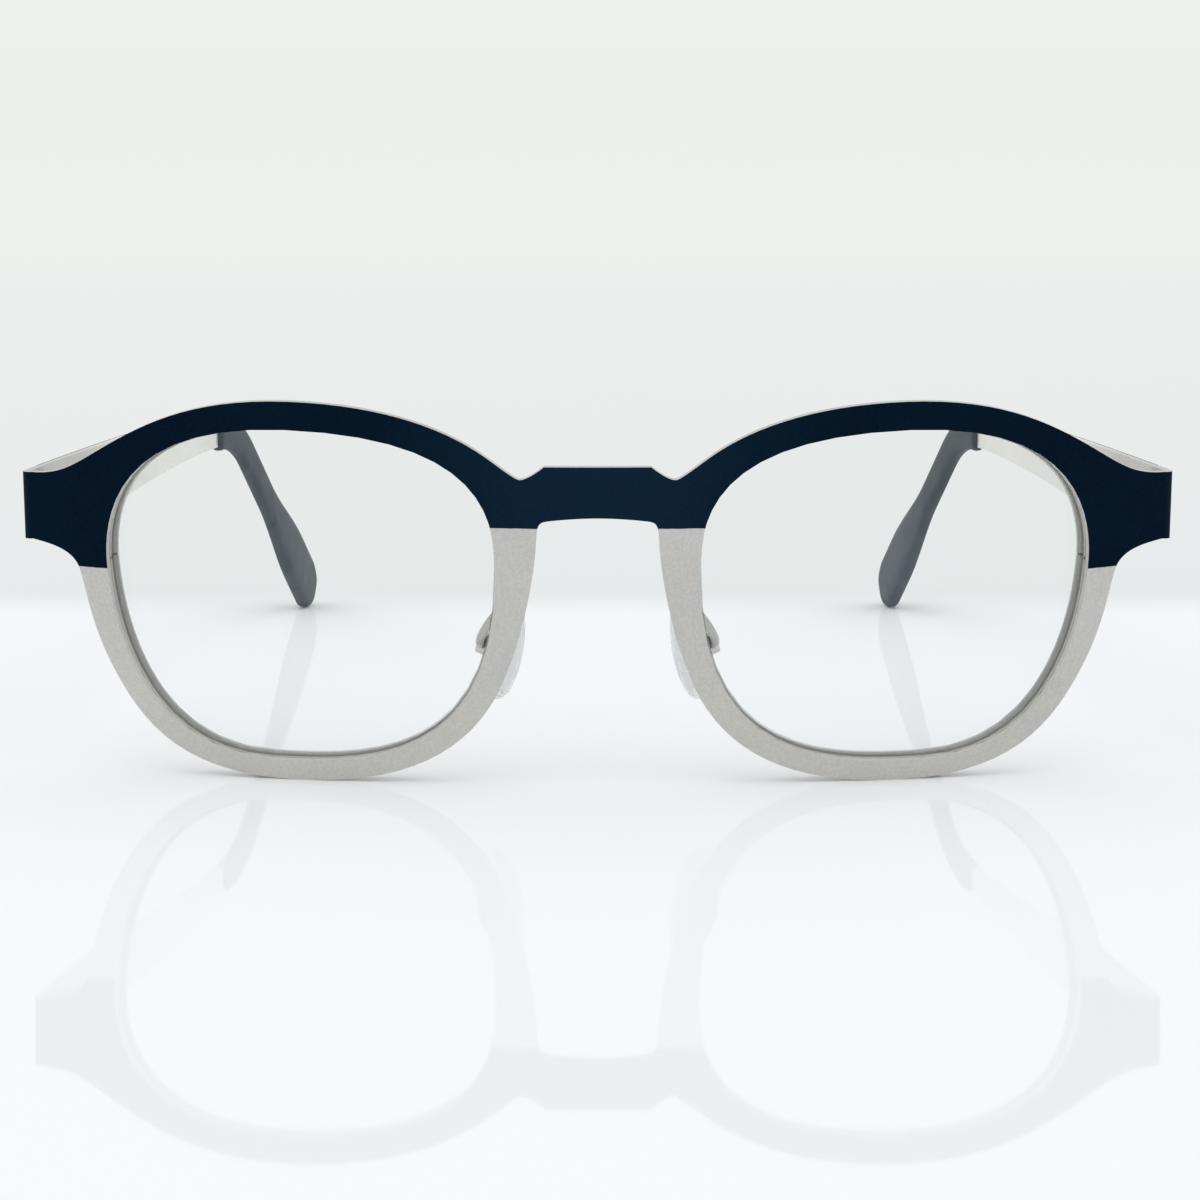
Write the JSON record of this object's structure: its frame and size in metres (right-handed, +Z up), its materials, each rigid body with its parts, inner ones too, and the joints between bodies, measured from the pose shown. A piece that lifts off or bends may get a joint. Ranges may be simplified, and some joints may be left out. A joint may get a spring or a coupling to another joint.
{
  "type": "eyeglasses",
  "caption": "Metal spectacles with a bowed two-tone sheet front, round lenses, folding temples with slate tips and rocking clear nose pads",
  "frame": {"origin": "on the floor under the middle of the bounding box, temples open", "axes": "+X to the wearer's left (right in the picture), the front faces -Y, the temples point to +Y, +Z up"},
  "size_m": [0.1374, 0.147, 0.0459],
  "materials": {
    "navy_lacquer": "matte navy lacquer on the brow, bridge and end pieces, bare blasted steel below the paint line",
    "blasted_steel": "fine bead-blasted stainless steel",
    "bright_steel": "turned bright screws",
    "nickel_silver": "satin nickel silver",
    "clear_lens": "clear demonstration lens",
    "clear_silicone": "clear silicone",
    "slate_acetate": "satin slate acetate"
  },
  "bodies": {
    "front": {"eyewire_left": "blasted_steel", "eyewire_right": "blasted_steel", "front_plate": "navy_lacquer", "hinge_front_leaf_left": "nickel_silver", "hinge_front_leaf_right": "nickel_silver", "hinge_screw_left": "bright_steel", "hinge_screw_right": "bright_steel", "lens_left": "clear_lens", "lens_right": "clear_lens", "pad_arm_left": "blasted_steel", "pad_arm_right": "blasted_steel", "pad_box_left": "nickel_silver", "pad_box_right": "nickel_silver", "pad_screw_left": "bright_steel", "pad_screw_right": "bright_steel", "rim_lock_lower_left": "nickel_silver", "rim_lock_lower_right": "nickel_silver", "rim_lock_screw_left": "bright_steel", "rim_lock_screw_right": "bright_steel", "rim_lock_upper_left": "nickel_silver", "rim_lock_upper_right": "nickel_silver"},
    "temple_right_arm": {"temple_right": "blasted_steel", "temple_tip_right": "slate_acetate", "hinge_temple_leaf_right": "nickel_silver"},
    "temple_left_arm": {"temple_left": "blasted_steel", "temple_tip_left": "slate_acetate", "hinge_temple_leaf_left": "nickel_silver"},
    "pad_right": {"nose_pad_right": "clear_silicone"},
    "pad_left": {"nose_pad_left": "clear_silicone"}
  },
  "joints": [
    {"name": "temple_right_fold", "type": "hinge", "parent": "front", "child": "temple_right_arm", "pos_m": [0.06553, -0.05515, 0.03235], "axis": [0, 0, 1], "range_deg": [0, 75]},
    {"name": "temple_left_fold", "type": "hinge", "parent": "front", "child": "temple_left_arm", "pos_m": [-0.06553, -0.05515, 0.03235], "axis": [0, 0, -1], "range_deg": [0, 80]},
    {"name": "pad_right_rock", "type": "hinge", "parent": "front", "child": "pad_right", "pos_m": [0.0126, -0.06276, 0.01575], "axis": [0.5299, 0.8423, 0.0982], "range_deg": [-6, 6]},
    {"name": "pad_left_rock", "type": "hinge", "parent": "front", "child": "pad_left", "pos_m": [-0.0126, -0.06276, 0.01575], "axis": [-0.5299, 0.8423, 0.0982], "range_deg": [-6, 6]}
  ]
}
